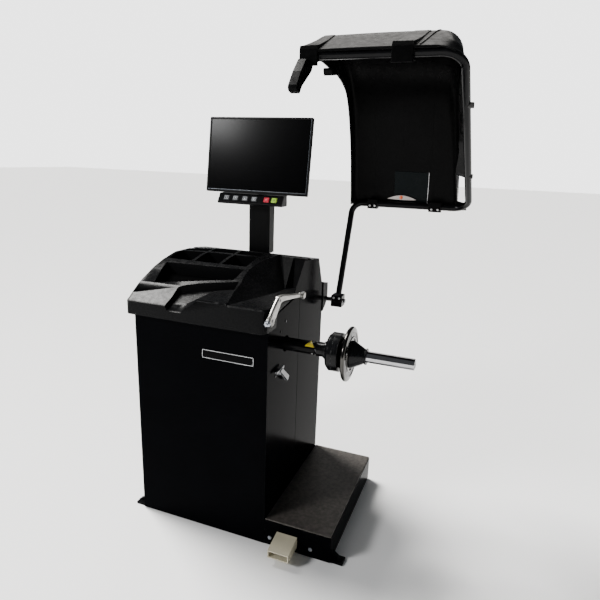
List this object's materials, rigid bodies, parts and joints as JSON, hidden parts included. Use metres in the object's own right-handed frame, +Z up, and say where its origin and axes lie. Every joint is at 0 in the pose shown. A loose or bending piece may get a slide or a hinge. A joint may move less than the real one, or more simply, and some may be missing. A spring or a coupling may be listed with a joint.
{
  "type": "wheel balancer",
  "caption": "Workshop wheel balancer: floor cabinet with side spindle and flange, weight trays, gauge arm, swinging wheel guard, monitor with keys, brake pedal and tyre platform.",
  "frame": {"origin": "on the floor, at the middle of the footprint of cabinet and platform", "axes": "+X out along the spindle to the operator's right, +Y from the front to the back, +Z up"},
  "size_m": [1.139, 0.7849, 1.77],
  "materials": {
    "frame_paint": "satin paint",
    "cabinet_paint": "gloss paint",
    "cover_plastic": "satin moulded",
    "platform_grit": "anti-slip grit",
    "zinc": "zinc plated",
    "cast_iron": "as cast",
    "housing_paint": "satin paint",
    "steel": "machined",
    "chrome": "hard chrome",
    "oxide_black": "black oxide",
    "motor_grey": "satin paint",
    "rubber": "matt",
    "board": "solder mask",
    "pedal_ivory": "satin paint",
    "cast_silver": "die cast",
    "tube_paint": "satin paint",
    "guard_plastic": "satin moulded",
    "column_paint": "satin paint",
    "monitor_plastic": "fine texture",
    "screen_glass": "dark glass",
    "panel_plastic": "fine texture",
    "key_grey": "matt",
    "key_red": "matt",
    "key_green": "matt"
  },
  "bodies": {
    "cabinet": {"base_frame": "frame_paint", "foot_rail_front": "frame_paint", "foot_rail_rear": "frame_paint", "front_wrap": "cabinet_paint", "rear_wrap": "cabinet_paint", "cover": "cover_plastic", "platform_shell": "cabinet_paint", "platform_mat": "platform_grit", "platform_bolt_a": "zinc", "platform_bolt_b": "zinc", "support_column": "cast_iron", "spindle_housing": "housing_paint", "bearing_front": "steel", "bearing_rear": "steel", "sensor_a": "steel", "sensor_b": "steel", "motor": "motor_grey", "belt": "rubber", "power_board": "board", "pedal_bracket": "frame_paint", "gauge_guide": "cover_plastic", "hood_bracket": "frame_paint", "monitor_column": "column_paint", "panel_housing": "panel_plastic", "inlet_module": "panel_plastic"},
    "spindle": {"spindle_shaft": "chrome", "hub_drum": "oxide_black", "flange": "chrome", "spindle_pulley": "steel", "encoder_disc": "steel"},
    "cone": {"cone": "oxide_black"},
    "rotor": {"motor_pulley": "steel"},
    "gauge_slide": {"gauge_rod": "chrome"},
    "pedal": {"pedal_lever": "steel", "pedal_pad": "pedal_ivory"},
    "brake_rod": {"brake_rod": "steel"},
    "brake_lever": {"brake_lever": "steel", "brake_pad": "rubber"},
    "latch": {"latch_handle": "zinc"},
    "guard": {"hood_rod": "chrome", "hood_clamp": "tube_paint", "hood_tube": "tube_paint", "hood_shell": "guard_plastic", "hood_strap_a": "guard_plastic", "hood_strap_b": "guard_plastic", "hood_strap_c": "guard_plastic", "hood_grip": "guard_plastic"},
    "monitor_swivel": {"monitor_head": "monitor_plastic"},
    "monitor_tilt": {"monitor_housing": "monitor_plastic", "screen": "screen_glass"},
    "switch": {"power_switch": "rubber"},
    "gauge_swing": {"gauge_arm": "cast_silver", "gauge_tip": "cast_silver", "gauge_clamp": "zinc"},
    "key_1": {"key_1": "key_grey"},
    "key_2": {"key_2": "key_grey"},
    "key_3": {"key_3": "key_grey"},
    "key_4": {"key_4": "key_grey"},
    "key_stop": {"key_stop": "key_red"},
    "key_start": {"key_start": "key_green"}
  },
  "joints": [
    {"name": "spindle_spin", "type": "hinge", "parent": "cabinet", "child": "spindle", "pos_m": [0.1385, -0.12, 0.741], "axis": [1, 0, 0], "continuous": true},
    {"name": "cone_slide", "type": "slide", "parent": "spindle", "child": "cone", "axis": [1, 0, 0], "range_m": [0, 0.15]},
    {"name": "rotor_spin", "type": "hinge", "parent": "cabinet", "child": "rotor", "pos_m": [-0.1705, 0.148, 0.56], "axis": [1, 0, 0], "continuous": true},
    {"name": "gauge_pull", "type": "slide", "parent": "cabinet", "child": "gauge_slide", "axis": [1, 0, 0], "range_m": [0, 0.17]},
    {"name": "gauge_swing", "type": "hinge", "parent": "gauge_slide", "child": "gauge_swing", "pos_m": [0.1465, -0.299, 0.88], "axis": [1, 0, 0], "range_deg": [-20, 60]},
    {"name": "guard_swing", "type": "hinge", "parent": "cabinet", "child": "guard", "pos_m": [0.1785, 0.315, 0.806], "axis": [1, 0, 0], "range_deg": [0, 60]},
    {"name": "pedal_press", "type": "hinge", "parent": "cabinet", "child": "pedal", "pos_m": [0.2305, -0.222, 0.045], "axis": [1, 0, 0], "range_deg": [0, 6], "stiffness_Nm_per_rad": 20, "springref_deg": -17.19},
    {"name": "brake_rod_pull", "type": "slide", "parent": "cabinet", "child": "brake_rod", "axis": [0, 0, -1], "range_m": [0, 0.0032]},
    {"name": "brake_lever_swing", "type": "hinge", "parent": "cabinet", "child": "brake_lever", "pos_m": [-0.1705, -0.22, 0.768], "axis": [1, 0, 0], "range_deg": [0, 6.01]},
    {"name": "latch_turn", "type": "hinge", "parent": "cabinet", "child": "latch", "pos_m": [0.1465, -0.182, 0.654], "axis": [1, 0, 0], "range_deg": [0, 90]},
    {"name": "monitor_swivel", "type": "hinge", "parent": "cabinet", "child": "monitor_swivel", "pos_m": [-0.1065, 0.184, 1.338], "axis": [0, 0, 1], "range_deg": [-30, 30]},
    {"name": "monitor_tilt", "type": "hinge", "parent": "monitor_swivel", "child": "monitor_tilt", "pos_m": [-0.1065, 0.169, 1.39], "axis": [1, 0, 0], "range_deg": [-4, 2]},
    {"name": "switch_rock", "type": "hinge", "parent": "cabinet", "child": "switch", "pos_m": [-0.2785, 0.291, 0.315], "axis": [1, 0, 0], "range_deg": [0, 8]},
    {"name": "key_1_press", "type": "slide", "parent": "cabinet", "child": "key_1", "axis": [0, 0.8468, -0.5319], "range_m": [0, 0.0015], "stiffness_N_per_m": 300, "springref_m": -0.001},
    {"name": "key_2_press", "type": "slide", "parent": "cabinet", "child": "key_2", "axis": [0, 0.8468, -0.5319], "range_m": [0, 0.0015], "stiffness_N_per_m": 300, "springref_m": -0.001},
    {"name": "key_3_press", "type": "slide", "parent": "cabinet", "child": "key_3", "axis": [0, 0.8468, -0.5319], "range_m": [0, 0.0015], "stiffness_N_per_m": 300, "springref_m": -0.001},
    {"name": "key_4_press", "type": "slide", "parent": "cabinet", "child": "key_4", "axis": [0, 0.8468, -0.5319], "range_m": [0, 0.0015], "stiffness_N_per_m": 300, "springref_m": -0.001},
    {"name": "key_stop_press", "type": "slide", "parent": "cabinet", "child": "key_stop", "axis": [0, 0.8468, -0.5319], "range_m": [0, 0.0015], "stiffness_N_per_m": 300, "springref_m": -0.001},
    {"name": "key_start_press", "type": "slide", "parent": "cabinet", "child": "key_start", "axis": [0, 0.8468, -0.5319], "range_m": [0, 0.0015], "stiffness_N_per_m": 300, "springref_m": -0.001}
  ],
  "couplings": [
    {"joint": "rotor_spin", "follows": "spindle_spin", "ratio": 3.1364},
    {"joint": "brake_rod_pull", "follows": "pedal_press", "m_per_rad": 0.03},
    {"joint": "brake_lever_swing", "follows": "pedal_press", "ratio": 1}
  ]
}
